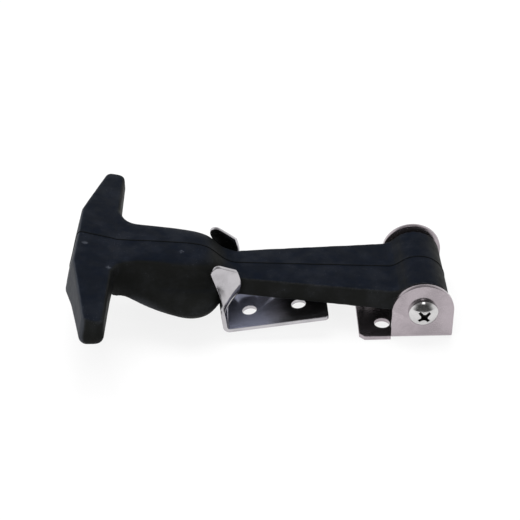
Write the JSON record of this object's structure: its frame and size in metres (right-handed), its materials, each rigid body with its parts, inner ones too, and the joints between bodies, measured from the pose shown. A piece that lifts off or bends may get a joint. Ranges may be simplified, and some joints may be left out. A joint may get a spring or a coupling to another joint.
{
  "type": "rubber t draw latch",
  "caption": "Rubber draw latch: a T handle hinged on a folded steel bracket, its bulbed neck hooked in a steel keeper with twisted prongs.",
  "frame": {"origin": "on the bracket's mounting face, straight below the pivot, midway between its ears", "axes": "+Z away from the mounting face, +Y along the pivot towards the lock nut, -X along the strap towards the T grip"},
  "size_m": [0.1317, 0.093, 0.0347],
  "materials": {
    "black_rubber": "matt, moulded",
    "bracket_steel": "satin stainless",
    "keeper_steel": "polished stainless",
    "fastener_steel": "bright stainless"
  },
  "bodies": {
    "bracket": {"base_bracket": "bracket_steel", "pivot_screw": "fastener_steel", "lock_nut": "fastener_steel", "spacer_tube": "fastener_steel"},
    "handle": {"rubber_handle": "black_rubber", "keeper": "keeper_steel"}
  },
  "joints": [
    {"name": "handle_hinge", "type": "hinge", "parent": "bracket", "child": "handle", "pos_m": [0, 0, 0.0119], "axis": [0, 1, 0], "range_deg": [0, 174]}
  ]
}
